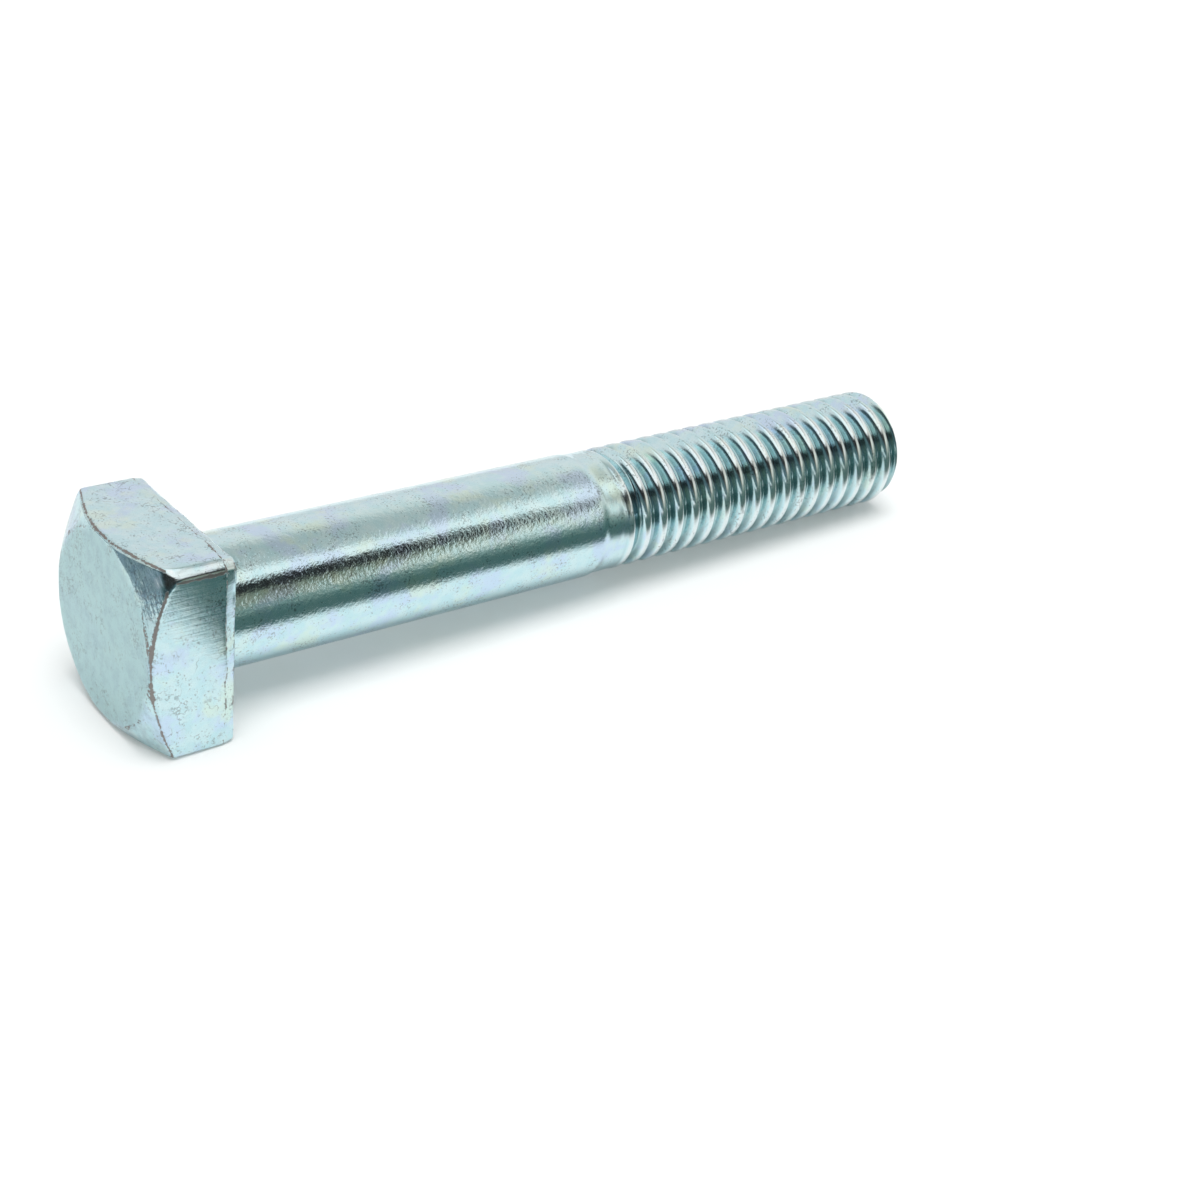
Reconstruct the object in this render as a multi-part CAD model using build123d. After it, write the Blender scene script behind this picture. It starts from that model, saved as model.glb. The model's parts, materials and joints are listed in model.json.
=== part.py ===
"""A square head bolt, forged, turned and thread-rolled as one piece of steel.

The bolt is built along +Z, with the centre of the bearing face under its head at the origin and
the threaded end at the top. It is then laid down along +X, at the angle at which it comes to
rest: on the lower edge of its head and on its last full thread. All sizes are in millimetres.
"""
from build123d import *
from math import atan2, degrees, radians, tan
import os

NODE = "square_head_bolt"

# Head
HEAD_WIDTH = 13.8            # across the flats
HEAD_HEIGHT = 6.2            # from the bearing face to the crown
CORNER_RADIUS = 0.85         # the four long edges of the square
CROWN_RADIUS = 6.76          # flat disc inside the crown's conical chamfer
CROWN_ANGLE = 30.0           # slope of that cone against the disc, degrees
RIM_BREAK = 0.3              # broken edge round the bearing face
NECK_FILLET = 1.0            # fillet between the bearing face and the shank

# Shank, for a 3/8 in bolt 2 1/2 in long
LENGTH = 63.5                # from the bearing face to the tip
SHANK_RADIUS = 4.76
SHANK_END = 31.9             # the plain shank stops here
BLANK_RADIUS = 4.5           # reduced neck that leads into the thread
BLANK_TAPER = 0.6            # short cone from the shank down to that neck

# Thread, 16 turns to the inch, right-handed
PITCH = 25.4 / 16
BASIC_RADIUS = 25.4 * 3 / 8 / 2
MAJOR_RADIUS = 4.7           # crests, under the basic size by the play and the plating
MINOR_RADIUS = 3.81          # roots
FLANK_ANGLE = 30.0           # each flank against a plane across the axis, degrees
LOWER_CREST = 36.59          # where the first full crest crosses the side that lies lowest
SWELL_START = 33.9           # the neck swells from here up to the crests
SWELL_END = 34.8
FADE_START = 34.5            # the first groove deepens from here down to the roots
FADE_END = 36.0
FADE_RADIUS = 4.55           # bottom of the groove where it begins
TIP_RADIUS = 3.75            # flat end of the bolt
TIP_CHAMFER = 0.95           # length of the chamfer round that end

# Building aids
SUNK = 0.15                  # how far one solid reaches into another that it joins
CLEAR = 2.0                  # how far the cutting rings stand out round the crests
RIDGE_START = LOWER_CREST - 2 * PITCH    # the ridge runs past both ends, which are cut away
LENGTH_TURNS = 4             # turns in each length of ridge
RIDGE_LENGTHS = 5            # lengths that follow one another
RIDGE_END = RIDGE_START + PITCH * LENGTH_TURNS * RIDGE_LENGTHS


def half_width(radius):
    """Half the width of a thread ridge at a radius, on the basic 60 degree form."""
    apex = BASIC_RADIUS + PITCH / 16 / tan(radians(FLANK_ANGLE))
    return (apex - radius) * tan(radians(FLANK_ANGLE))


def turned(*points):
    """Solid of revolution about Z from a closed outline of (radius, height) points."""
    return revolve(make_face(Plane.XZ * Polyline(*points, close=True)), Axis.Z)


def head():
    """Square head with rounded long edges, a conical crown and a broken edge at the bearing face."""
    block = Box(HEAD_WIDTH, HEAD_WIDTH, HEAD_HEIGHT, align=(Align.CENTER, Align.CENTER, Align.MAX))
    block = fillet(block.edges().filter_by(Axis.Z), CORNER_RADIUS)
    block = chamfer(block.faces().sort_by(Axis.Z)[-1].edges(), RIM_BREAK)
    drop = (HEAD_WIDTH - CROWN_RADIUS) * tan(radians(CROWN_ANGLE))
    crown = turned((0, -HEAD_HEIGHT), (CROWN_RADIUS, -HEAD_HEIGHT), (HEAD_WIDTH, drop - HEAD_HEIGHT),
                   (HEAD_WIDTH, drop), (0, drop))
    return block & crown


def shank():
    """Plain shank and neck, flared into the bearing face by the fillet under the head."""
    flare = SHANK_RADIUS + NECK_FILLET
    outline = Polyline((flare, 0), (flare, -SUNK), (0, -SUNK), (0, SWELL_START), (BLANK_RADIUS, SWELL_START),
                       (BLANK_RADIUS, SHANK_END + BLANK_TAPER), (SHANK_RADIUS, SHANK_END),
                       (SHANK_RADIUS, NECK_FILLET))
    outline += Spline((SHANK_RADIUS, NECK_FILLET), (flare, 0), tangents=((0, -1), (1, 0)))
    return revolve(make_face(Plane.XZ * outline), Axis.Z)


def ridges():
    """Core with a helical ridge round it, both running past the ends of the thread."""
    sunk = MINOR_RADIUS - SUNK
    section = Polyline((sunk, -half_width(sunk)), (MAJOR_RADIUS, -half_width(MAJOR_RADIUS)),
                       (MAJOR_RADIUS, half_width(MAJOR_RADIUS)), (sunk, half_width(sunk)), close=True)
    advance = PITCH * LENGTH_TURNS
    ridge = sweep(make_face(Plane.XZ * section), path=Helix(PITCH, advance, sunk), is_frenet=True)
    core = Cylinder(MINOR_RADIUS, RIDGE_END - RIDGE_START + 2 * PITCH,
                    align=(Align.CENTER, Align.CENTER, Align.MIN))
    core = Pos(0, 0, RIDGE_START - PITCH) * core
    return core + [Pos(0, 0, RIDGE_START + advance * i) * ridge for i in range(RIDGE_LENGTHS)]


def thread():
    """Ridges cut back at the neck and at the chamfered tip, with a first groove that fades in."""
    outside = MAJOR_RADIUS + CLEAR
    chamfer_start = LENGTH - TIP_CHAMFER
    beyond = RIDGE_END + 2 * PITCH
    before = RIDGE_START - 2 * PITCH
    past_tip = turned((outside, chamfer_start - SUNK), (MAJOR_RADIUS + SUNK, chamfer_start - SUNK),
                      (TIP_RADIUS, LENGTH), (0, LENGTH), (0, beyond), (outside, beyond))
    swell = (MAJOR_RADIUS - BLANK_RADIUS) / (SWELL_END - SWELL_START)
    before_neck = turned((0, before), (0, SWELL_START), (BLANK_RADIUS, SWELL_START),
                         (MAJOR_RADIUS + SUNK * swell, SWELL_END + SUNK), (outside, SWELL_END + SUNK),
                         (outside, before))
    fade = turned((0, SWELL_START - SUNK), (BLANK_RADIUS, SWELL_START - SUNK), (BLANK_RADIUS, SWELL_START),
                  (FADE_RADIUS, FADE_START), (MINOR_RADIUS, FADE_END), (0, FADE_END))
    return ridges() - past_tip - before_neck + fade


def rest_tilt():
    """Degrees by which the bolt slopes when its head's lower edge and its thread touch down."""
    turns = (LENGTH - TIP_CHAMFER - LOWER_CREST) // PITCH
    run = LOWER_CREST + turns * PITCH + half_width(MAJOR_RADIUS) + RIM_BREAK
    return degrees(atan2(HEAD_WIDTH / 2 - MAJOR_RADIUS, run))


def bolt():
    """The whole bolt, laid down along +X as it rests."""
    return (head() + shank() + thread()).rotate(Axis.Y, 90 + rest_tilt())


if __name__ == "__main__":
    os.makedirs("parts", exist_ok=True)
    solid = bolt()
    print(f"{NODE}: slope {rest_tilt():.3f} degrees, volume {solid.volume:.1f} cubic millimetres")
    export_step(solid, f"parts/{NODE}.step")
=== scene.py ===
"""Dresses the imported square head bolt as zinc-plated steel, lying on a pale studio floor.

The bolt is remade as one closed skin: a forged head with worn edges, a drawn shank and a rolled
thread with rounded crests and roots. It is built along +Z in millimetres, with the centre of the
bearing face at the origin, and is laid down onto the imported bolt's axis at the end.
"""
from __future__ import annotations

import json
import logging
import math
from collections.abc import Callable, Iterable
from dataclasses import dataclass, field
from enum import Enum
from functools import partial
from typing import Union

import bmesh
import bpy
from bmesh.types import BMEdge, BMesh, BMVert
from mathutils import Matrix, Vector, noise

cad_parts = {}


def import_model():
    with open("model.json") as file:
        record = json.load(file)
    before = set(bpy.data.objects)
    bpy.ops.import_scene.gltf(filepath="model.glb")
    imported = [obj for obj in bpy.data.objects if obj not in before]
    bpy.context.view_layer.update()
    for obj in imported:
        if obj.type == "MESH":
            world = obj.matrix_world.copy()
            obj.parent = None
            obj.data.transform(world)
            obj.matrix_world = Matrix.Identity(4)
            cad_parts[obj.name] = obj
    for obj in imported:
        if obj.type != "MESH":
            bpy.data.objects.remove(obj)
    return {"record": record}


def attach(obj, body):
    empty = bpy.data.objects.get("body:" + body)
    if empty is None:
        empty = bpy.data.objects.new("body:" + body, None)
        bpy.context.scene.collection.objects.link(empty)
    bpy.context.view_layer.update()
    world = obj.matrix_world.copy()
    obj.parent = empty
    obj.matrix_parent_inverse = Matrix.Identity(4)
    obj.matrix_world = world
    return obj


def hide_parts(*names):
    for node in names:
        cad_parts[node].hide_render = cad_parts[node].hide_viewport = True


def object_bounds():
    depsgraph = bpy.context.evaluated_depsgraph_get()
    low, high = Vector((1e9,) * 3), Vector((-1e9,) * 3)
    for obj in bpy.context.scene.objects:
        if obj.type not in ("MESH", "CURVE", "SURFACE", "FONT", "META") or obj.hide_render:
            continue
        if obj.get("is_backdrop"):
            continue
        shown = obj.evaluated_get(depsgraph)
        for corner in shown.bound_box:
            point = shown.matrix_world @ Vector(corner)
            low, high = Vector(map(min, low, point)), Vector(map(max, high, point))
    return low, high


NODE = "square_head_bolt"
SLOT = "zinc_plated_steel"
PIECE = "plated_bolt"
MM = 0.001
LOG = logging.getLogger("bolt")

# Marks that the skin's points carry into the material, each from 0 to 1
WORN = "worn_edge"
# CREST also marks worn flats on the head; the material paints a paler colour with it, partly wear, partly
# painted highlight
CREST = "crest_line"
# GROOVE: how deep a point lies in the thread's groove; the material paints shade there with it
GROOVE = "groove"

# Sizes that more than one part of the bolt or its finish goes by
HEAD_HEIGHT = 6.2
DISC_RADIUS = 6.76           # flat disc inside the crown's cone
CROWN_SLOPE = math.radians(30.0)
SHANK_RADIUS = 4.76
SHANK_END = 31.9

QUARTER = math.pi / 2
WHITE = (1.0, 1.0, 1.0)

Triple = tuple[float, float, float]
Ring = tuple[float, float]
Place = Callable[[float], Ring]
Wear = Callable[[float], float]
Socket = bpy.types.NodeSocket
Value = Union[Socket, float]


def smooth_step(value: float, start: float, end: float) -> float:
    """Rise from 0 to 1 between two values, with soft ends.

    Args:
        value: Where the step is read.
        start: Value at which it leaves 0.
        end: Value at which it reaches 1.

    Returns:
        The height of the step.
    """
    t = min(max((value - start) / (end - start), 0.0), 1.0)
    return t * t * (3.0 - 2.0 * t)


def soft_ramp(value: float, width: float) -> float:
    """Follow zero below 0 and the value itself above it, rounded over a width.

    Args:
        value: Where the ramp is read.
        width: Length over which the bend is rounded.

    Returns:
        The height of the ramp, never below zero.
    """
    return 0.5 * (value + math.hypot(value, width))


def from_side(around: float) -> float:
    """Angle from a direction to the middle of the nearest side of the square."""
    return abs((around + math.pi / 4) % QUARTER - math.pi / 4)


def turn_from(corner: float, around: float) -> float:
    """Angle from a corner to a direction, at most half a turn either way."""
    return (around - corner + math.pi) % math.tau - math.pi


def on_ring(around: float, seed: float) -> Vector:
    """Point on a ring about as wide as the head, to read a noise at."""
    return Vector((9.0 * math.cos(around), 9.0 * math.sin(around), seed))


class Skin:
    """A skin grown ring by ring round the bolt's axis."""

    def __init__(self, segments: int, crowding: float) -> None:
        """Start with a small disc that closes the skin.

        Args:
            segments: Points in each ring.
            crowding: How much closer the points stand at the square's corners, from 0 to 1.
        """
        self.mesh: BMesh = bmesh.new()
        self.worn = self.mesh.verts.layers.float.new(WORN)
        self.crest = self.mesh.verts.layers.float.new(CREST)
        self.groove = self.mesh.verts.layers.float.new(GROOVE)
        made = bmesh.ops.create_circle(self.mesh, cap_ends=True, cap_tris=True,
                                       segments=segments, radius=1.0)
        for vert in made["verts"]:
            around = math.atan2(vert.co.y, vert.co.x)
            away = vert.co.xy.length
            around += crowding * math.sin(4.0 * around) / 4.0
            vert.co.xy = away * math.cos(around), away * math.sin(around)
        self.rim: list[BMEdge] = [edge for edge in self.mesh.edges if edge.is_boundary]

    def start(self, radius: float, height: float) -> None:
        """Put the first disc in place."""
        for vert in self.mesh.verts:
            vert.co = Vector((vert.co.x * radius, vert.co.y * radius, height))

    def grow(self, place: Place, worn: Wear | float = 0.0) -> None:
        """Extrude the open rim into one more ring.

        Args:
            place: Gives the ring's radius and height at an angle round the axis.
            worn: How far the plating is worn off, from 0 to 1, all along the ring or at an angle.
        """
        made = bmesh.ops.extrude_edge_only(self.mesh, edges=self.rim)["geom"]
        for vert in (item for item in made if isinstance(item, BMVert)):
            around = math.atan2(vert.co.y, vert.co.x)
            radius, height = place(around)
            vert.co = Vector((radius * math.cos(around), radius * math.sin(around), height))
            vert[self.worn] = worn(around) if callable(worn) else worn
            vert[self.crest] = vert[self.groove] = 0.0
        self.rim = [item for item in made if isinstance(item, BMEdge)]

    def grow_plain(self, rings: Iterable[Ring]) -> None:
        """Grow round rings, each given as a radius and a height."""
        for radius, height in rings:
            self.grow(lambda _around, r=radius, h=height: (r, h))


@dataclass(frozen=True)
class Knock:
    """A small flat that wear has put on a corner."""

    corner: Triple
    facing: Triple
    depth: float
    softness: float = 0.12
    # shine: share of the paler colour given to the flat, a painted highlight
    shine: float = 0.0
    reach: float = 1.8

    def press(self, mesh: BMesh) -> None:
        """Press the skin back to the flat, wherever it stands out past it.

        Args:
            mesh: Mesh of the skin.
        """
        worn, crest = mesh.verts.layers.float[WORN], mesh.verts.layers.float[CREST]
        normal = Vector(self.facing).normalized()
        middle = Vector(self.corner) - normal * self.depth
        for vert in mesh.verts:
            offset = vert.co - middle
            if offset.length < self.reach:
                pressed = soft_ramp(offset.dot(normal), self.softness)
                vert.co -= normal * pressed
                flat = smooth_step(pressed, 0.5 * self.softness, 1.2 * self.softness)
                vert[worn] *= 1.0 - flat
                vert[crest] = max(vert[crest], flat * self.shine)


# Rings that the head is grown from. Where they come in pairs, the first number is the share of the
# way along the surface and the second one the wear.
DISC_RINGS = (0.6, 2.0, 3.6, 5.0, 6.0, 6.4)
CONE_RINGS = ((0.1, 0.0), (0.2, 0.0), (0.3, 0.0), (0.4, 0.0), (0.5, 0.0), (0.6, 0.0), (0.68, 0.0),
              (0.76, 0.0), (0.82, 0.0), (0.88, 0.0), (0.92, 0.0), (0.96, 0.1), (1.0, 0.3))
EDGE_WEAR = (0.55, 0.85, 0.9, 0.6, 0.3, 0.15, 0.1)
SIDE_SHARES = (0.03, 0.08, 0.2, 0.35, 0.5, 0.65, 0.8, 0.92, 0.97)
RIM_RINGS = ((-0.06, 0.35), (0.0, 0.6), (0.06, 0.6), (0.14, 0.3), (0.4, 0.1), (0.7, 0.1), (1.0, 0.35))
ROUNDING_WEAR = (0.4, 0.5, 0.4, 0.3, 0.2, 0.0)
FACE_SHARES = (0.04, 0.3, 0.6, 0.9, 1.0)
FILLET_STEPS = 8


@dataclass(frozen=True)
class Head:
    """Forged square head with a conical crown round a flat disc."""

    width: float = 13.8
    disc_softness: float = 0.1
    corner_cut: float = 0.16
    corner_inset: float = 1.5
    corner_softness: float = 0.14
    corner_reach: tuple[float, float] = (0.2, 0.7)
    worn_cut: float = 0.62
    worn_corner: float = math.radians(-135.0)
    edge_round: float = 0.24
    edge_dents: float = 0.05
    rim_reach: float = 0.8
    rim_depth: float = 0.22
    rim_round: float = 0.16
    rim_gap: float = 0.08
    knock_depth: float = 0.24
    line_offset: float = math.radians(3.1)
    line_width: float = math.radians(0.9)
    fillet: float = 1.0

    def outline(self, around: float, inset: float = 0.0) -> float:
        """Distance from the axis to the square at an angle, with its corners flattened.

        Args:
            around: Angle round the axis.
            inset: How far the outline is drawn in, evenly all round.

        Returns:
            The distance in millimetres.
        """
        off = from_side(around)
        on_worn = abs(turn_from(self.worn_corner, around)) < math.pi / 4
        cut = self.worn_cut if on_worn else self.corner_cut
        side = (self.width / 2 - inset) / math.cos(off)
        flat = (self.width - cut - self.corner_inset * inset) / (math.cos(off) + math.sin(off))
        flattened = soft_ramp(side - flat, self.corner_softness)
        return side - flattened * smooth_step(off, *self.corner_reach)

    def crown(self, radius: float) -> float:
        """Height of the crown's surface at a radius."""
        fall = soft_ramp(radius - DISC_RADIUS, self.disc_softness)
        return -HEAD_HEIGHT + fall * math.tan(CROWN_SLOPE)

    def dent(self, around: float, seed: float) -> float:
        """Unevenness along a worn edge, always drawn in."""
        at = on_ring(around, seed)
        return self.edge_dents * max(0.0, 0.5 + noise.noise(at * 1.1) + 0.8 * noise.noise(at * 3.1))

    def rim_at(self, around: float) -> tuple[float, float]:
        """Shape of the rolled rim at an angle: uneven, and shallower at the corners.

        Args:
            around: Angle round the axis.

        Returns:
            How far the rim reaches up the side, and how deep it is drawn in.
        """
        at = on_ring(around, 21.0)
        uneven = noise.noise(at * 0.6) + 0.5 * noise.noise(at * 1.9)
        at_corner = smooth_step(from_side(around), math.radians(32.0), math.radians(44.0))
        depth = self.rim_depth * (1.0 + 0.22 * uneven) * (1.0 - 0.45 * at_corner)
        return self.rim_reach * (1.0 + 0.16 * uneven), depth

    def corner_line(self, around: float) -> float:
        """Wear along the near boundary of the worn corner's flat, from 0 to 1."""
        away = turn_from(self.worn_corner, around) - self.line_offset
        return 1.0 - smooth_step(abs(away), 0.2 * self.line_width, self.line_width)

    def build(self, skin: Skin) -> None:
        """Grow the head from the crown down to the fillet under it, then wear its nearest corner.

        Args:
            skin: The skin to grow, still bare.
        """
        skin.start(DISC_RINGS[0], -HEAD_HEIGHT)
        skin.grow_plain((radius, self.crown(radius)) for radius in DISC_RINGS[1:])
        for share, worn in CONE_RINGS:
            skin.grow(partial(self._on_cone, share), worn)
        for step, worn in enumerate(EDGE_WEAR, 1):
            skin.grow(partial(self._on_edge, step / len(EDGE_WEAR)), worn)
        for share in SIDE_SHARES:
            skin.grow(partial(self._on_side, share), self.corner_line)
        for share, worn in RIM_RINGS:
            skin.grow(partial(self._on_rim, share), worn)
        for step, worn in enumerate(ROUNDING_WEAR, 1):
            skin.grow(partial(self._on_rounding, QUARTER * step / len(ROUNDING_WEAR)), worn)
        for share in FACE_SHARES:
            skin.grow(partial(self._on_face, share))
        turns = (QUARTER * step / FILLET_STEPS for step in range(1, FILLET_STEPS + 1))
        skin.grow_plain((SHANK_RADIUS + self.fillet - self.fillet * math.sin(turn),
                         self.fillet * (1 - math.cos(turn))) for turn in turns)
        self._rub_corner(skin)
        self._knock(skin.mesh)

    def _on_cone(self, share: float, around: float) -> Ring:
        """Point on the cone, between the disc and the worn edge.

        Args:
            share: Share of the way out.
            around: Angle round the axis.

        Returns:
            The point's radius and height.
        """
        start = DISC_RINGS[-1]
        out = self.outline(around) - self.edge_round
        radius = start + (out - start) * share
        return radius, self.crown(radius)

    def _on_edge(self, share: float, around: float) -> Ring:
        """Point on the worn, rounded edge between the cone and the sides.

        Args:
            share: Share of the way from the cone to the side.
            around: Angle round the axis.

        Returns:
            The point's radius and height.
        """
        out, size, rest = self.outline(around), self.edge_round, 1 - share
        top = self.crown(out) + self.dent(around, 3.0)
        radius = out - size * rest ** 2
        height = self.crown(radius) * rest ** 2 + top * 2 * share * rest + (top + size) * share * share
        return radius, height

    def _on_side(self, share: float, around: float) -> Ring:
        """Point on a flat side.

        Args:
            share: Share of the way down to the rolled rim.
            around: Angle round the axis.

        Returns:
            The point's radius and height.
        """
        out = self.outline(around)
        top = self.crown(out) + self.edge_round
        return out, top + (-self.rim_at(around)[0] - self.rim_gap - top) * share

    def _on_rim(self, share: float, around: float) -> Ring:
        """Point on the shallow slope of the rolled rim.

        Args:
            share: Share of the way down the slope.
            around: Angle round the axis.

        Returns:
            The point's radius and height.
        """
        reach, depth = self.rim_at(around)
        inset = depth * soft_ramp(share, 0.05)
        return self.outline(around, inset), -reach + (reach - self.rim_round) * share

    def _on_rounding(self, turn: float, around: float) -> Ring:
        """Point where the rim rounds over into the bearing face.

        Args:
            turn: Angle through which the surface has turned.
            around: Angle round the axis.

        Returns:
            The point's radius and height.
        """
        depth = self.rim_at(around)[1] + self.rim_round * 0.9 * (1 - math.cos(turn))
        inset = depth + self.dent(around, 11.0) * math.sin(2 * turn)
        return self.outline(around, inset), -self.rim_round * (1 - math.sin(turn))

    def _on_face(self, share: float, around: float) -> Ring:
        """Point on the bearing face.

        Args:
            share: Share of the way in to the fillet.
            around: Angle round the axis.

        Returns:
            The point's radius and height.
        """
        flare = SHANK_RADIUS + self.fillet
        out = self.outline(around, self.rim_at(around)[1] + self.rim_round * 0.9)
        return out + (flare - out) * share, 0.0

    def _rub_corner(self, skin: Skin) -> None:
        """Rub the worn corner's flat brighter, unevenly along its length: partly bare steel, partly
        painted highlight.
        """
        for vert in skin.mesh.verts:
            away = abs(turn_from(self.worn_corner, math.atan2(vert.co.y, vert.co.x)))
            on_side = -HEAD_HEIGHT < vert.co.z < -0.5 * self.rim_round
            if on_side and vert.co.xy.length > 0.6 * self.width:
                patchy = 0.7 + 0.8 * noise.noise(vert.co * 1.7)
                past = smooth_step(away, 0.6 * self.line_offset, self.line_offset)
                vert[skin.crest] = patchy * (1.0 - past)

    def _knock(self, mesh: BMesh) -> None:
        """Wear the crown's end of one corner down to two small flats; the second gets a painted
        highlight.
        """
        out = self.outline(self.worn_corner)
        corner = (out * math.cos(self.worn_corner), out * math.sin(self.worn_corner), self.crown(out))
        for knock in (Knock(corner, (-0.50, -0.71, -0.50), self.knock_depth),
                      Knock(corner, (-0.71, -0.64, -0.31), 0.85 * self.knock_depth, 0.03, shine=1.3)):
            knock.press(mesh)


@dataclass(frozen=True)
class Shank:
    """Plain shank with the short cone that leads down to the thread."""

    start: float = 1.0
    neck_radius: float = 4.63
    taper: float = 0.5
    softness: float = 0.1
    seam: float = 33.6
    plain_steps: int = 12
    fine_steps: int = 24
    fine_step: float = 0.1

    def radius_at(self, height: float) -> float:
        """Radius of the shank, its cone and its neck at a height."""
        slope = (SHANK_RADIUS - self.neck_radius) / self.taper
        fall = soft_ramp(height - SHANK_END, self.softness)
        fall -= soft_ramp(height - SHANK_END - self.taper, self.softness)
        return SHANK_RADIUS - slope * fall

    def build(self, skin: Skin) -> None:
        """Grow the shank up to the seam where the thread takes over."""
        run = SHANK_END - 1.4 - self.start
        steps = self.plain_steps
        plain = [self.start + 0.08 + run * step / steps for step in range(steps + 1)]
        fine = [SHANK_END - 0.9 + self.fine_step * step for step in range(self.fine_steps)]
        last = [height for height in (self.seam - 0.2, self.seam) if height > fine[-1]]
        skin.grow_plain((self.radius_at(height), height) for height in plain + fine + last)


@dataclass(frozen=True)
class Thread:
    """Rolled thread, sixteen turns to the inch, right-handed.

    The swell and the fading groove are each given by the heights of their start and end and by the
    radius at which they begin. The two marks are depths below the crests.
    """

    pitch: float = 25.4 / 16
    basic: float = 25.4 * 3 / 16
    major: float = 4.7
    minor: float = 4.02
    flank: float = math.radians(30.0)
    plating: float = 0.12
    root_round: float = 0.13
    crest_round: float = 0.19
    lower_crest: float = 36.59
    steps: int = 120
    swell: Triple = (33.9, 34.8, 4.62)
    fade: Triple = (34.5, 36.0, 4.62)
    floor_softness: float = 0.02
    roof_softness: float = 0.03
    crest_mark: tuple[float, float] = (0.12, 0.01)
    groove_mark: tuple[float, float] = (0.1, 0.4)
    length: float = 63.5
    tip: float = 3.75
    chamfer: float = 0.95
    tip_round: float = 0.16
    dish_depth: float = 0.05

    def half_width(self, radius: float) -> float:
        """Half the width of the plated ridge at a radius."""
        apex = self.basic + self.pitch / 16 / math.tan(self.flank)
        return (apex - radius) * math.tan(self.flank) + self.plating

    def section(self, mesh: BMesh, height: float) -> None:
        """Draw the section of one turn, root to root, and round its corners.

        Args:
            mesh: Mesh that gets the section.
            height: Height of the crest's middle.
        """
        low, high, half = self.half_width(self.minor), self.half_width(self.major), self.pitch / 2
        points = [(self.minor, -half), (self.minor, -low), (self.major, -high),
                  (self.major, high), (self.minor, low), (self.minor, half)]
        verts = [mesh.verts.new((radius, 0.0, height + across)) for radius, across in points]
        for pair in zip(verts, verts[1:]):
            mesh.edges.new(pair)
        roots, crests = verts[1:2] + verts[4:5], verts[2:4]
        for corners, size in ((roots, self.root_round), (crests, self.crest_round)):
            bmesh.ops.bevel(mesh, geom=corners, offset=size, offset_type="OFFSET", segments=5,
                            profile=0.5, affect="VERTICES", material=-1)
        flanks = [edge for edge in mesh.edges if abs(edge.verts[0].co.x - edge.verts[1].co.x) > 0.3]
        bmesh.ops.subdivide_edges(mesh, edges=flanks, cuts=2)

    def envelope(self, height: float) -> tuple[float, float]:
        """Lowest and highest radius that the thread may have at a height.

        Args:
            height: Height along the axis.

        Returns:
            The bottom of the fading first groove, and the neck's swell or the chamfer at the tip.
        """
        start, end, begin = self.fade
        floor = self.minor
        if height < start:
            floor = begin
        elif height < end:
            floor = begin + (self.minor - begin) * (height - start) / (end - start)
        start, end, begin = self.swell
        swell = begin + (self.major - begin) * max(0.0, (height - start) / (end - start))
        chamfer = self.tip + (self.length - height) * (self.major - self.tip) / self.chamfer
        return floor, min(swell, chamfer)

    def radius_in(self, radius: float, height: float) -> float:
        """Radius of a point of the thread, kept within the envelope by soft bends."""
        floor, roof = self.envelope(height)
        raised = floor + soft_ramp(radius - floor, self.floor_softness)
        return roof - soft_ramp(roof - raised, self.roof_softness)

    def build(self, skin: Skin, seam: float) -> None:
        """Make the threaded part by itself, then join it to the shank and close the tip.

        Args:
            skin: The skin, grown up to the seam.
            seam: Height of the shank's last ring.
        """
        helix = self._helix(seam)
        self._fit(helix)
        for height, side in ((seam + 0.2, -1), (self.length - 0.01, 1)):
            bmesh.ops.bisect_plane(helix, geom=[*helix.verts, *helix.edges, *helix.faces], dist=1e-5,
                                   plane_co=(0, 0, height), plane_no=(0, 0, side), clear_outer=True)
        data = bpy.data.meshes.new("helix")
        helix.to_mesh(data)
        helix.free()
        skin.mesh.from_mesh(data)
        bpy.data.meshes.remove(data)
        self._join(skin)
        self._close_tip(skin)

    def _helix(self, seam: float) -> BMesh:
        """Spin one turn of the section and repeat it along the thread.

        Args:
            seam: Height below which the thread isn't needed.

        Returns:
            A new mesh with all turns, merged.
        """
        helix: BMesh = bmesh.new()
        below = math.ceil((self.lower_crest - seam) / self.pitch + 1)
        first = self.lower_crest - self.pitch * below
        self.section(helix, first)
        bmesh.ops.spin(helix, geom=[*helix.verts, *helix.edges], cent=(0, 0, 0), axis=(0, 0, 1),
                       angle=math.tau, dvec=(0, 0, self.pitch / self.steps), steps=self.steps)
        turn = [*helix.verts, *helix.edges, *helix.faces]
        for _ in range(math.ceil((self.length - first) / self.pitch)):
            turn = bmesh.ops.duplicate(helix, geom=turn)["geom"]
            verts = [item for item in turn if isinstance(item, BMVert)]
            bmesh.ops.translate(helix, vec=(0, 0, self.pitch), verts=verts)
        bmesh.ops.remove_doubles(helix, verts=helix.verts, dist=1e-4)
        return helix

    def _fit(self, helix: BMesh) -> None:
        """Move the points into the envelope and mark the crests and the grooves."""
        crest = helix.verts.layers.float.new(CREST)
        groove = helix.verts.layers.float.new(GROOVE)
        deep, shallow = self.crest_mark
        for vert in helix.verts:
            radius = vert.co.xy.length
            vert.co.xy *= self.radius_in(radius, vert.co.z) / radius
            on_thread = smooth_step(vert.co.z, self.swell[0], self.swell[1])
            vert[crest] = smooth_step(radius, self.major - deep, self.major - shallow) * on_thread
            vert[groove] = smooth_step(self.major - radius, *self.groove_mark) * on_thread

    def _join(self, skin: Skin) -> None:
        """Bridge the shank's last ring to the thread's first."""
        open_edges = [edge for edge in skin.mesh.edges if edge.is_boundary]
        low = [edge for edge in open_edges if edge.verts[0].co.z < self.lower_crest]
        bmesh.ops.bridge_loops(skin.mesh, edges=low)

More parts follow.
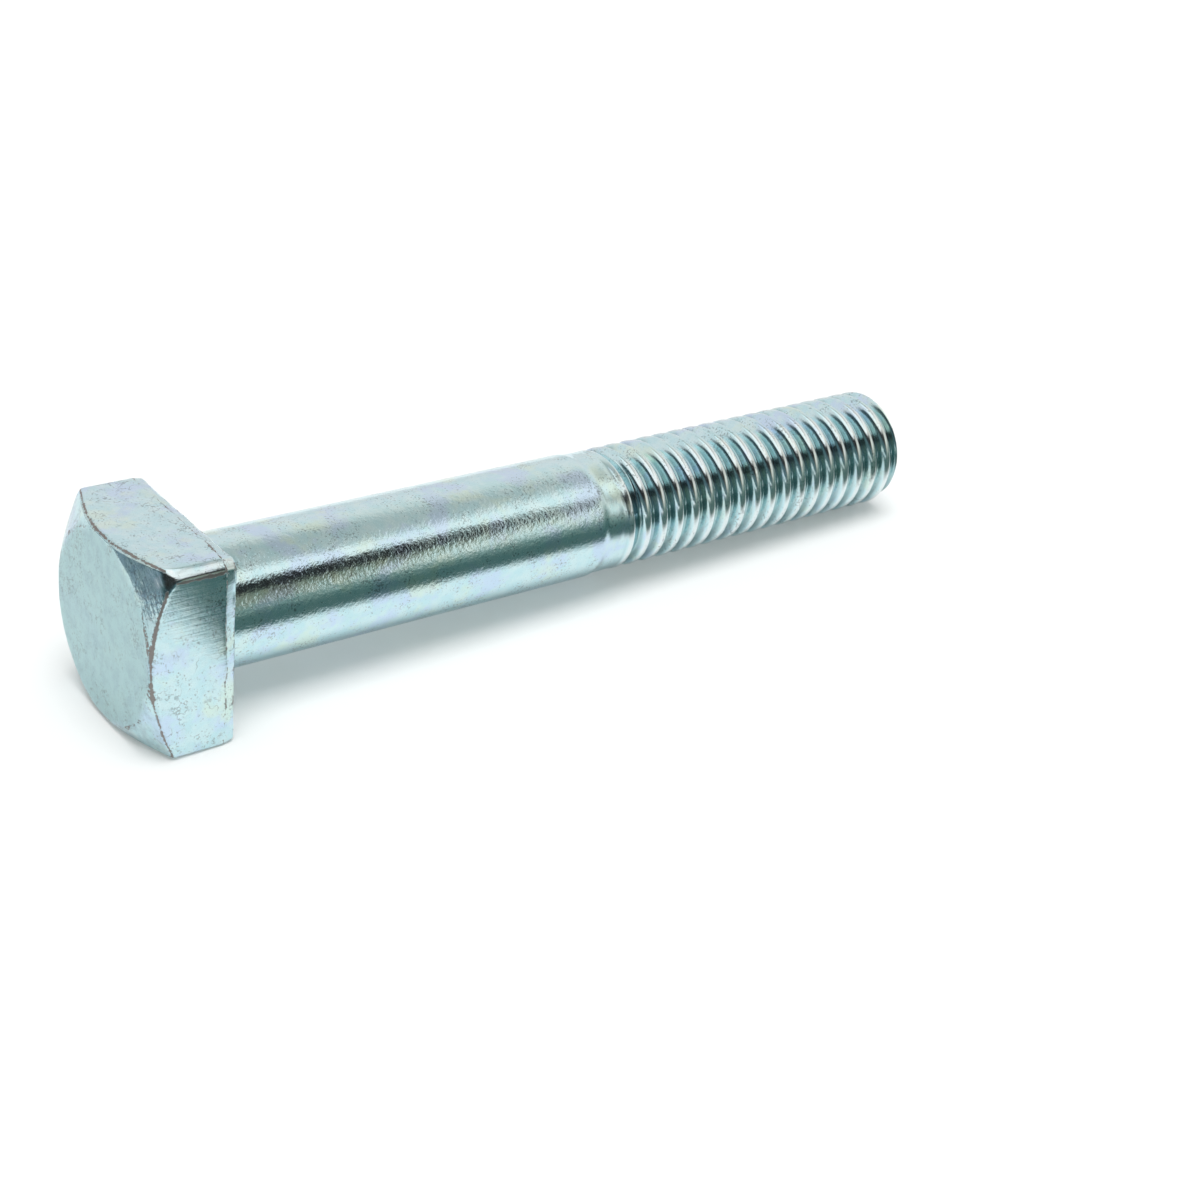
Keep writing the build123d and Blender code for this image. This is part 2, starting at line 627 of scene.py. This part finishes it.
    def _close_tip(self, skin: Skin) -> None:
        """Round the tip's edge and close the slightly dished end."""
        skin.rim = [edge for edge in skin.mesh.edges if edge.is_boundary]
        edge, dish = self.tip - self.tip_round, self.length - self.dish_depth
        skin.grow_plain(((self.tip - 0.04, self.length), (edge, self.length), (edge - 0.3, self.length),
                         (edge - 0.45, self.length - 0.01), (edge - 0.7, dish), (2.0, dish), (0.6, dish)))
        bmesh.ops.holes_fill(skin.mesh, edges=skin.rim, sides=0)


class Nodes:
    """Adds and links the nodes of one material or world."""

    def __init__(self, tree: bpy.types.NodeTree) -> None:
        """Clear the tree and take it over."""
        self.tree = tree
        tree.nodes.clear()

    def add(self, kind: str, settings: dict[str, object] | None = None,
            **inputs: object) -> bpy.types.Node:
        """Add a node.

        Args:
            kind: The node's type, without its ShaderNode prefix.
            settings: Properties of the node itself.
            inputs: Values or sockets for its inputs, by name with _ for a space, or in_N by number.

        Returns:
            The new node.
        """
        node = self.tree.nodes.new("ShaderNode" + kind)
        for name, value in (settings or {}).items():
            setattr(node, name, value)
        for name, value in inputs.items():
            key = int(name[3:]) if name.startswith("in_") else name.replace("_", " ")
            socket = node.inputs[key]
            if isinstance(value, Socket):
                self.tree.links.new(value, socket)
            else:
                socket.default_value = value
        return node

    def maths(self, operation: str, *values: Value) -> Socket:
        """Add a Math node and give back its result."""
        inputs = {f"in_{place}": value for place, value in enumerate(values)}
        return self.add("Math", {"operation": operation}, **inputs).outputs[0]

    def step(self, value: Value, start: float, end: float) -> Socket:
        """Rise smoothly from 0 to 1 between two values, or fall where the first is the higher one.

        Args:
            value: What the step is read at.
            start: Value at which the result leaves 0.
            end: Value at which it reaches 1.

        Returns:
            The step.
        """
        low, high, falling = min(start, end), max(start, end), start > end
        node = self.add("MapRange", {"interpolation_type": "SMOOTHSTEP"}, Value=value,
                        From_Min=low, From_Max=high,
                        To_Min=1.0 if falling else 0.0, To_Max=0.0 if falling else 1.0)
        return node.outputs[0]

    def product(self, first: Value, *others: Value) -> Socket:
        """Multiply several values."""
        for other in others:
            first = self.maths("MULTIPLY", first, other)
        return first

    def total(self, first: Value, *others: Value) -> Socket:
        """Add several values."""
        for other in others:
            first = self.maths("ADD", first, other)
        return first

    def rest(self, share: Value) -> Socket:
        """What a share leaves of 1."""
        return self.maths("SUBTRACT", 1.0, share)

    def noise(self, place: Value, size: float, detail: float = 2.0, rough: float = 0.5) -> Socket:
        """Add a noise whose features are about a size across, in the units of its place."""
        node = self.add("TexNoise", Vector=place, Scale=0.5 / size, Detail=detail, Roughness=rough)
        return node.outputs["Fac"]

    def mark(self, name: str) -> Socket:
        """Read one of the marks that the points carry."""
        return self.add("Attribute", {"attribute_name": name}).outputs["Fac"]

    def mix(self, share: Value, first: Socket | Triple, second: Socket | Triple) -> Socket:
        """Mix two colours."""
        first = (*first, 1.0) if isinstance(first, tuple) else first
        second = (*second, 1.0) if isinstance(second, tuple) else second
        return self.add("Mix", {"data_type": "RGBA"}, in_0=share, in_6=first, in_7=second).outputs[2]

    def bands(self, value: Value, stops: Iterable[tuple[float, Iterable[float]]]) -> Socket:
        """Add a colour ramp.

        Args:
            value: Where the ramp is read, from 0 to 1.
            stops: Positions and their colours.

        Returns:
            The colour.
        """
        node = self.add("ValToRGB", in_0=value)
        ramp = node.color_ramp
        stops = list(stops)
        while len(ramp.elements) < len(stops):
            ramp.elements.new(0.5)
        for element, (position, colour) in zip(ramp.elements, stops):
            element.position, element.color = position, (*colour, 1.0)
        return node.outputs[0]


@dataclass(frozen=True)
class Patches:
    """Soft-edged patches that a noise picks out of the surface."""

    size: float
    edges: tuple[float, float]
    offset: Triple
    detail: float = 4.0
    rough: float = 0.6

    def read(self, nodes: Nodes, place: Socket) -> Socket:
        """Value that is 1 within the patches and 0 between them."""
        moved = nodes.add("Mapping", Vector=place, Location=self.offset).outputs[0]
        return nodes.step(nodes.noise(moved, self.size, self.detail, self.rough), *self.edges)


@dataclass(frozen=True)
class Metal:
    """Bright zinc plating with a thin blue passivation, worn to grey along its edges. Sizes in mm."""

    pale: Triple = (0.69, 0.89, 0.92)
    cyan: Triple = (0.60, 0.85, 0.90)
    lilac: Triple = (0.63, 0.78, 0.97)
    green: Triple = (0.74, 0.90, 0.80)
    dull: Triple = (0.39, 0.59, 0.60)
    cloud: Triple = (0.30, 0.44, 0.50)
    # Paler, untinted colour: partly worn bare steel, partly painted highlight
    polish_and_highlight: Triple = (0.90, 0.96, 0.96)
    # Colour of the painted shade in the thread's grooves
    groove_shade: Triple = (0.16, 0.32, 0.33)
    fleck: Triple = (0.22, 0.26, 0.27)
    worn: Triple = (0.27, 0.235, 0.22)
    lilac_patches: Patches = Patches(1.5, (0.5, 0.66), (31.0, 17.0, 5.0))
    green_patches: Patches = Patches(1.7, (0.54, 0.68), (-12.0, 41.0, 22.0))
    clouds: Patches = Patches(0.6, (0.43, 0.66), (7.0, 2.0, 13.0), 6.0, 0.75)
    veined: Patches = Patches(1.3, (0.5, 0.6), (5.0, 25.0, 1.0), 2.0, 0.5)
    worn_share: float = 0.92
    fleck_share: float = 0.62
    roughness: float = 0.05
    cloudy_roughness: float = 0.1
    worn_roughness: float = 0.3
    peel_size: float = 0.15
    peel_depth: float = 0.019
    streak_size: float = 0.11
    streak_depth: float = 0.009
    arc_size: float = 0.1
    arc_depth: float = 0.0216
    dimple_depth: float = 0.024
    wave_depth: float = 0.012
    worn_depth: float = 0.01


@dataclass(frozen=True)
class Zones:
    """Where on the bolt a point lies, as sockets: places in millimetres and shares from 0 to 1."""

    place: Socket
    radius: Socket
    rings: Socket
    thread: Socket
    head: Socket
    crown: Socket
    disc: Socket
    flank: Socket

    @classmethod
    def read(cls, nodes: Nodes, slope: float) -> Zones:
        """Work the zones out from the object's own coordinates.

        Args:
            nodes: Nodes of the material.
            slope: Angle by which the bolt's axis runs down towards the thread.

        Returns:
            The zones.
        """
        coords = nodes.add("TexCoord").outputs["Object"]
        place = nodes.add("Mapping", Vector=coords, Rotation=(0.0, -slope, 0.0),
                          Scale=(1 / MM,) * 3).outputs[0]
        along, across, up = nodes.add("SeparateXYZ", Vector=place).outputs
        squares = nodes.total(nodes.product(across, across), nodes.product(up, up))
        radius = nodes.maths("SQRT", squares)
        turn = nodes.product(nodes.maths("ARCTAN2", across, up), 1.6)
        rings = nodes.add("CombineXYZ", X=radius, Y=turn).outputs[0]
        past_disc = nodes.maths("MAXIMUM", nodes.maths("SUBTRACT", radius, DISC_RADIUS), 0.0)
        cone = nodes.product(past_disc, -math.tan(CROWN_SLOPE))
        over_crown = nodes.total(along, HEAD_HEIGHT, cone)
        ragged = nodes.total(radius, nodes.product(nodes.noise(place, 0.8, 4.0, 0.6), 1.6))
        # flank is 1 away from the top of the bolt as it lies; it keeps the painted shade and the paler
        # crests off the top
        return cls(place=place, radius=radius, rings=rings,
                   thread=nodes.step(along, SHANK_END - 0.5, SHANK_END + 1.2),
                   head=nodes.step(along, 0.5, -0.1),
                   crown=nodes.step(over_crown, 0.3, 0.05),
                   disc=nodes.step(ragged, DISC_RADIUS + 1.3, DISC_RADIUS + 0.3),
                   flank=nodes.step(nodes.maths("DIVIDE", up, radius), 0.985, 0.92))


@dataclass(frozen=True)
class ZincFinish:
    """The one finish of the bolt."""

    metal: Metal = field(default_factory=Metal)

    def material(self, slope: float) -> bpy.types.Material:
        """Make the plated steel.

        Args:
            slope: Angle by which the bolt's axis runs down towards the thread.

        Returns:
            The material.
        """
        material = bpy.data.materials.new(SLOT)
        material.use_nodes = True
        nodes = Nodes(material.node_tree)
        zones = Zones.read(nodes, slope)
        worn = self._worn(nodes, zones)
        base = nodes.mix(worn, self._colour(nodes, zones), self.metal.worn)
        shader = nodes.add("BsdfPrincipled", Base_Color=base, Metallic=1.0,
                           Roughness=self._roughness(nodes, zones, worn),
                           Normal=self._relief(nodes, zones, worn))
        nodes.add("OutputMaterial", Surface=shader.outputs[0])
        return material

    def _worn(self, nodes: Nodes, zones: Zones) -> Socket:
        """Ragged marks where the plating is rubbed off the edges and the disc's boundary."""
        rough = nodes.noise(zones.place, 0.11, 4.0, 0.75)
        long = nodes.noise(zones.place, 0.9)
        from_disc = nodes.maths("SUBTRACT", zones.radius, DISC_RADIUS + 0.05)
        near_disc = nodes.step(nodes.maths("ABSOLUTE", from_disc), 0.3, 0.05)
        boundary = nodes.product(near_disc, zones.crown, 0.4)
        level = nodes.maths("MAXIMUM", nodes.mark(WORN), boundary)
        ragged = nodes.total(level, nodes.product(rough, 2.0), nodes.product(long, 1.5))
        marks = nodes.product(nodes.step(ragged, 2.3, 2.42), nodes.step(level, 0.02, 0.2))
        return nodes.product(marks, self.metal.worn_share)

    def _colour(self, nodes: Nodes, zones: Zones) -> Socket:
        """Cloudy pale, cyan, lilac and greenish plating with fine dark flecks.

        Args:
            nodes: Nodes of the material.
            zones: Where a point lies.

        Returns:
            The colour of the plating.
        """
        metal, place = self.metal, zones.place
        fine = nodes.noise(place, 0.5, 4.0, 0.65)
        base = nodes.mix(nodes.step(fine, 0.36, 0.64), metal.pale, metal.cyan)
        base = nodes.mix(nodes.product(metal.lilac_patches.read(nodes, place), 0.8), base, metal.lilac)
        base = nodes.mix(nodes.product(metal.green_patches.read(nodes, place), 0.7), base, metal.green)
        flatness = nodes.total(0.2, nodes.product(zones.disc, 0.8))
        base = nodes.mix(nodes.product(flatness, zones.crown, 0.9), base, metal.dull)
        faint = nodes.total(0.10, nodes.product(zones.crown, 0.38))
        clouds = nodes.product(metal.clouds.read(nodes, place), zones.head, faint)
        base = nodes.mix(clouds, base, metal.cloud)
        off_vein = nodes.maths("ABSOLUTE", nodes.total(nodes.noise(place, 1.0, 4.0, 0.6), -0.5))
        veins = nodes.product(nodes.step(off_vein, 0.013, 0.004), metal.veined.read(nodes, place),
                              zones.head, 0.55)
        base = nodes.mix(veins, base, metal.fleck)
        # Paler crests on the thread's sides and paler worn flats on the head: partly wear, partly painted
        # highlight
        shine = nodes.maths("MAXIMUM", zones.flank, zones.head)
        base = nodes.mix(nodes.product(nodes.mark(CREST), shine, 0.75), base, metal.polish_and_highlight)
        # Painted shade: the thread's grooves darker, except along the top of the bolt as it lies
        base = nodes.mix(nodes.product(nodes.mark(GROOVE), zones.flank, 0.5), base, metal.groove_shade)
        return nodes.mix(self._flecks(nodes, zones), base, metal.fleck)

    def _flecks(self, nodes: Nodes, zones: Zones) -> Socket:
        """Fine dark flecks in loose groups."""
        apart = nodes.add("Mapping", Vector=zones.place, Location=(3.0, 9.0, -7.0)).outputs[0]
        groups = nodes.product(nodes.noise(apart, 1.0), 0.45)
        specks = nodes.total(nodes.noise(zones.place, 0.085, 3.0, 0.7), groups)
        return nodes.product(nodes.step(specks, 0.82, 0.91), self.metal.fleck_share)

    def _roughness(self, nodes: Nodes, zones: Zones, worn: Socket) -> Socket:
        """Cloudy roughness, dull where the plating is gone."""
        metal = self.metal
        cloud = nodes.product(nodes.noise(zones.place, 0.7, 3.0), metal.cloudy_roughness)
        return nodes.total(cloud, nodes.product(worn, metal.worn_roughness),
                           nodes.product(zones.head, 0.06), nodes.product(zones.thread, 0.05),
                           metal.roughness)

    def _relief(self, nodes: Nodes, zones: Zones, worn: Socket) -> Socket:
        """Fine shape of the surface.

        Orange peel lies on the shank, straight streaks on the head's sides, arcs on the crown's cone,
        dimples on the whole crown and shallow waves everywhere.

        Args:
            nodes: Nodes of the material.
            zones: Where a point lies.
            worn: Share of the plating that is gone.

        Returns:
            The normal.
        """
        metal, place = self.metal, zones.place
        peeled = nodes.total(1.0, nodes.product(zones.thread, -0.75), nodes.product(zones.head, -0.8))
        peel = nodes.product(nodes.noise(place, metal.peel_size, 3.0, 0.6), metal.peel_depth, peeled)
        drawn = nodes.add("Mapping", Vector=place, Scale=(0.08, 1.0, 1.0)).outputs[0]
        streaks = nodes.product(nodes.noise(drawn, metal.streak_size), zones.head,
                                nodes.rest(zones.crown), metal.streak_depth)
        arcs = nodes.product(nodes.noise(zones.rings, metal.arc_size), zones.crown,
                             nodes.rest(zones.disc), metal.arc_depth)
        dimples = nodes.product(nodes.noise(place, 0.45, 4.0, 0.62), zones.crown, metal.dimple_depth)
        waves = nodes.product(nodes.noise(place, 1.2, 1.5), metal.wave_depth)
        height = nodes.total(peel, streaks, arcs, dimples, waves, nodes.product(worn, -metal.worn_depth))
        return nodes.add("Bump", Strength=1.0, Distance=MM, Height=height).outputs[0]


@dataclass(frozen=True)
class Bolt:
    """The whole bolt as one skin."""

    slope: float
    head: Head = field(default_factory=Head)
    shank: Shank = field(default_factory=Shank)
    thread: Thread = field(default_factory=Thread)
    finish: ZincFinish = field(default_factory=ZincFinish)
    segments: int = 288
    crowding: float = 0.7

    def build(self) -> bpy.types.Object:
        """Grow the skin, lay it down and dress it.

        Returns:
            The finished piece, at the origin and untransformed.
        """
        skin = Skin(self.segments, self.crowding)
        self.head.build(skin)
        self.shank.build(skin)
        self.thread.build(skin, self.shank.seam)
        mesh = skin.mesh
        bmesh.ops.remove_doubles(mesh, verts=mesh.verts, dist=1e-5)
        bmesh.ops.recalc_face_normals(mesh, faces=mesh.faces)
        lay_down = Matrix.Rotation(QUARTER + self.slope, 4, "Y") @ Matrix.Scale(MM, 4)
        bmesh.ops.transform(mesh, matrix=lay_down, verts=mesh.verts)
        for face in mesh.faces:
            face.smooth = True
        data = bpy.data.meshes.new(PIECE)
        open_edges = sum(1 for edge in mesh.edges if not edge.is_manifold)
        mesh.to_mesh(data)
        mesh.free()
        piece = bpy.data.objects.new(PIECE, data)
        bpy.context.scene.collection.objects.link(piece)
        data.materials.append(self.finish.material(self.slope))
        LOG.info("%s: %d faces, %d open edges", PIECE, len(data.polygons), open_edges)
        return piece


class Sector(Enum):
    """Parts of the surroundings, as they stand for someone who looks where the camera does."""

    AHEAD = "ahead"
    PALE = "pale"
    SIDE = "side"
    RIGHT = "right"
    BEHIND = "behind"
    LEFT = "left"


# What reflections show of each sector: degrees above the horizon, then the colour there
BANDS: dict[Sector, tuple[tuple[float, float, float, float], ...]] = {
    Sector.AHEAD: (
        (-8, 0.95, 0.93, 0.91), (4, 0.77, 0.74, 0.74), (25, 0.84, 0.80, 0.80), (38, 0.84, 0.80, 0.77),
        (46, 0.76, 0.73, 0.69), (54, 0.52, 0.52, 0.50), (64, 0.46, 0.47, 0.45), (71, 1.0, 1.0, 1.0)),
    Sector.PALE: (
        (-8, 0.95, 0.93, 0.91), (4, 0.77, 0.74, 0.74), (25, 0.84, 0.80, 0.80), (60, 0.78, 0.76, 0.75),
        (71, 1.0, 1.0, 1.0)),
    Sector.SIDE: (
        (-24, 0.90, 0.90, 0.90), (-18, 0.20, 0.25, 0.23), (-8, 0.13, 0.18, 0.16),
        (3, 0.22, 0.29, 0.26), (8, 0.34, 0.37, 0.33), (12, 0.50, 0.52, 0.48), (22, 0.80, 0.78, 0.72),
        (30, 0.50, 0.49, 0.45), (38, 0.80, 0.78, 0.73), (43, 1.0, 0.98, 0.95), (50, 1.0, 0.98, 0.95),
        (56, 0.54, 0.54, 0.52), (62, 0.46, 0.47, 0.45), (68, 1.0, 1.0, 1.0)),
    Sector.RIGHT: (
        (-24, 0.90, 0.90, 0.90), (-18, 0.15, 0.20, 0.19), (-8, 0.08, 0.14, 0.13),
        (3, 0.24, 0.32, 0.29), (12, 0.24, 0.25, 0.20), (25, 0.24, 0.24, 0.18), (29, 0.03, 0.03, 0.03),
        (42, 0.02, 0.02, 0.02), (44.5, 1.0, 0.99, 0.97), (56, 1.0, 0.99, 0.97),
        (61, 0.70, 0.70, 0.68), (66, 1.0, 1.0, 1.0)),
    Sector.BEHIND: (
        (-24, 0.85, 0.85, 0.85), (-14, 0.14, 0.20, 0.20), (0, 0.09, 0.15, 0.15),
        (12, 0.10, 0.16, 0.17), (24, 0.06, 0.08, 0.09), (30, 0.02, 0.02, 0.02),
        (44, 0.02, 0.02, 0.02), (48, 1.0, 1.0, 1.0), (66, 1.0, 1.0, 1.0)),
    Sector.LEFT: (
        (-14, 0.90, 0.90, 0.90), (-4, 0.34, 0.39, 0.42), (6, 0.27, 0.32, 0.37),
        (13, 0.24, 0.29, 0.33), (19, 0.07, 0.12, 0.13), (30, 0.05, 0.08, 0.09),
        (44, 0.05, 0.07, 0.08), (52, 0.40, 0.42, 0.42), (60, 1.0, 1.0, 1.0)),
}


@dataclass(frozen=True)
class Border:
    """Where a sector takes over, in degrees: from, to, and how much it leans per degree of height."""

    sector: Sector
    start: float
    end: float
    lean: float = 0.0


BORDERS = (
    Border(Sector.SIDE, 42.0, 72.0),
    Border(Sector.PALE, 2.0, -14.0),
    Border(Sector.RIGHT, 112.5, 117.5, 0.55),
    Border(Sector.BEHIND, 122.0, 136.0),
    Border(Sector.LEFT, -65.0, -75.0, 1.3),
    Border(Sector.BEHIND, -124.0, -138.0),
)

# Shades of the dark sheet, by the share of 100 mm from its edge
DARK_SHADES = ((0.0, (0.12, 0.17, 0.16)), (0.06, (0.09, 0.145, 0.135)),
               (0.25, (0.08, 0.14, 0.13)), (1.0, (0.14, 0.20, 0.18)))


@dataclass(frozen=True)
class Studio:
    """Pale floor and soft surroundings. The dark sheet's sizes are in mm, the others in metres."""

    heading: float = math.radians(50.4)
    floor_size: float = 8.0
    floor_colour: Triple = (0.8, 0.8, 0.8)
    floor_lift: Triple = (0.18, 0.20, 0.195)
    reflected_lift: float = 0.45
    ambient: float = 0.42
    lamp_power: float = 2.16
    lamp_spread: float = math.radians(38.6)
    lamp_aim: Triple = (0.03, 0.08, -0.45)
    streak_colour: Triple = (1.0, 0.98, 0.92)
    streak_share: float = 0.9
    dark_edge: float = -17.5
    dark_bend: float = 24.0
    dark_turn: float = 0.12
    dark_blur: tuple[float, float] = (-6.0, 1.5)
    dark_start: tuple[float, float] = (3.0, 6.5)

    def world(self) -> None:
        """Make the surroundings: white for the camera, banded for reflections, even for the rest."""
        world = bpy.data.worlds.new("studio")
        bpy.context.scene.world = world
        world.use_nodes = True
        nodes = Nodes(world.node_tree)
        path = nodes.add("LightPath").outputs
        even = nodes.mix(path["Is Glossy Ray"], (self.ambient,) * 3, self._reflected(nodes))
        shown = nodes.mix(path["Is Camera Ray"], even, WHITE)
        back = nodes.add("Background", Color=shown, Strength=1.0)
        nodes.add("OutputWorld", Surface=back.outputs[0])

    def _reflected(self, nodes: Nodes) -> Socket:
        """Surroundings that reflections show, sector by sector, with one slanted bright streak.

        Args:
            nodes: Nodes of the world.

        Returns:
            The colour in a direction.
        """
        direction = nodes.add("TexCoord").outputs["Generated"]
        turned = nodes.add("Mapping", Vector=direction,
                           Rotation=(0.0, 0.0, QUARTER - self.heading)).outputs[0]
        right, ahead, up = nodes.add("SeparateXYZ", Vector=turned).outputs
        elevation = nodes.maths("DEGREES", nodes.maths("ARCSINE", up))
        azimuth = nodes.maths("DEGREES", nodes.maths("ARCTAN2", right, ahead))
        share = nodes.maths("MULTIPLY_ADD", elevation, 1 / 180, 0.5)
        ramps = {sector: nodes.bands(share, [(0.5 + angle / 180, colour) for angle, *colour in bands])
                 for sector, bands in BANDS.items()}
        seen = ramps[Sector.AHEAD]
        for border in BORDERS:
            leaning = nodes.maths("MULTIPLY_ADD", elevation, border.lean, azimuth)
            seen = nodes.mix(nodes.step(leaning, border.start, border.end), seen, ramps[border.sector])
        off = nodes.total(nodes.maths("MULTIPLY_ADD", azimuth, 1.14, -135.0), elevation)
        streak = nodes.product(nodes.step(nodes.maths("ABSOLUTE", off), 7.0, 3.0),
                               nodes.step(azimuth, 112.5, 108.5), nodes.step(azimuth, 90.0, 99.0))
        return nodes.mix(nodes.product(streak, self.streak_share), seen, self.streak_colour)

    def _sheet(self, name: str, height: float) -> bpy.types.Object:
        """Lay a wide, flat sheet.

        Args:
            name: The sheet's name.
            height: Height that it lies at.

        Returns:
            The sheet, marked as part of the stage.
        """
        mesh = bmesh.new()
        bmesh.ops.create_grid(mesh, x_segments=1, y_segments=1, size=self.floor_size / 2)
        bmesh.ops.translate(mesh, vec=(0, 0, height), verts=mesh.verts)
        data = bpy.data.meshes.new(name)
        mesh.to_mesh(data)
        mesh.free()
        sheet = bpy.data.objects.new(name, data)
        bpy.context.scene.collection.objects.link(sheet)
        data.materials.append(bpy.data.materials.new(name))
        data.materials[0].use_nodes = True
        sheet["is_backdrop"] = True
        return sheet

    def floor(self, height: float) -> None:
        """Make the pale floor that the bolt lies on.

        Args:
            height: Height of its surface.
        """
        floor = self._sheet("pale_floor", height)
        nodes = Nodes(floor.data.materials[0].node_tree)
        path = nodes.add("LightPath").outputs
        seen = nodes.maths("MULTIPLY_ADD", path["Is Glossy Ray"], self.reflected_lift,
                           path["Is Camera Ray"])
        matt = nodes.add("BsdfDiffuse", Color=(*self.floor_colour, 1.0))
        glow = nodes.add("Emission", Color=(*self.floor_lift, 1.0), Strength=seen)
        both = nodes.add("AddShader", in_0=matt.outputs[0], in_1=glow.outputs[0])
        nodes.add("OutputMaterial", Surface=both.outputs[0])

    def flag(self, height: float) -> None:
        """Lay a dark sheet on the near side, clear of the bolt, that only reflections show.

        Args:
            height: Height of the floor.
        """
        flag = self._sheet("dark_flag", height + 0.05 * MM)
        for ray in ("camera", "diffuse", "transmission", "volume_scatter", "shadow"):
            setattr(flag, f"visible_{ray}", False)
        nodes = Nodes(flag.data.materials[0].node_tree)
        coords = nodes.add("TexCoord").outputs["Object"]
        along, across, _ = nodes.add("SeparateXYZ", Vector=coords).outputs
        away = nodes.maths("MULTIPLY_ADD", nodes.product(across, -1.0), 1 / MM, self.dark_edge)
        past_bend = nodes.maths("MULTIPLY_ADD", along, 1 / MM, -self.dark_bend)
        away = nodes.total(away, nodes.product(nodes.maths("MAXIMUM", past_bend, 0.0), self.dark_turn))
        shade = nodes.bands(nodes.product(away, 0.01), DARK_SHADES)
        start = nodes.step(along, *(reach * MM for reach in self.dark_start))
        dark = nodes.product(nodes.step(away, *self.dark_blur), start)
        glow = nodes.add("Emission", Color=shade, Strength=1.0)
        clear = nodes.add("BsdfTransparent")
        seen = nodes.add("MixShader", in_0=dark, in_1=clear.outputs[0], in_2=glow.outputs[0])
        nodes.add("OutputMaterial", Surface=seen.outputs[0])

    def lamp(self) -> None:
        """Light everything evenly from above with one wide, soft lamp."""
        data = bpy.data.lights.new("soft_lamp", "SUN")
        data.energy, data.angle = self.lamp_power, self.lamp_spread
        lamp = bpy.data.objects.new("soft_lamp", data)
        lamp.rotation_euler = Vector(self.lamp_aim).to_track_quat("-Z", "Y").to_euler()
        lamp.visible_glossy = False
        bpy.context.scene.collection.objects.link(lamp)


@dataclass(frozen=True)
class Camera:
    """The camera, above and beside the head. Its place is in millimetres."""

    place: Triple = (-54.2, -108.88, 70.51)
    heading: float = math.radians(50.42)
    down: float = math.radians(29.56)
    roll: float = math.radians(5.0)
    lens: float = 61.46
    sensor: float = 36.0

    def build(self) -> None:
        """Make the camera and give it to the scene."""
        data = bpy.data.cameras.new("camera")
        data.lens, data.sensor_width = self.lens, self.sensor
        data.clip_start, data.clip_end = 0.005, 50.0
        camera = bpy.data.objects.new("camera", data)
        turn = (Matrix.Rotation(self.heading - QUARTER, 4, "Z")
                @ Matrix.Rotation(QUARTER - self.down, 4, "X") @ Matrix.Rotation(self.roll, 4, "Z"))
        camera.matrix_world = Matrix.Translation(Vector(self.place) * MM) @ turn
        bpy.context.scene.collection.objects.link(camera)
        bpy.context.scene.camera = camera


def slope_of(record: dict) -> float:
    """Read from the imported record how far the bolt's axis runs down.

    Args:
        record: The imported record.

    Returns:
        The angle in radians.
    """
    mount = next(item for item in record["mounts"] if item["name"] == "bearing_face")
    axis = Vector(mount["axis"])
    return math.asin(-axis.z / axis.length)


def main() -> None:
    """Load the frame, build the bolt, the camera and the studio."""
    logging.basicConfig(level=logging.INFO, format="%(message)s")
    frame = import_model()
    low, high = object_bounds()
    Camera().build()
    piece = Bolt(slope_of(frame["record"])).build()
    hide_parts(NODE)
    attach(piece, "root")
    studio = Studio()
    studio.world()
    studio.floor(low.z)
    studio.flag(low.z)
    studio.lamp()
    bpy.context.scene.view_settings.view_transform = "Standard"
    LOG.info("sizes written")


if __name__ == "__main__":
    main()
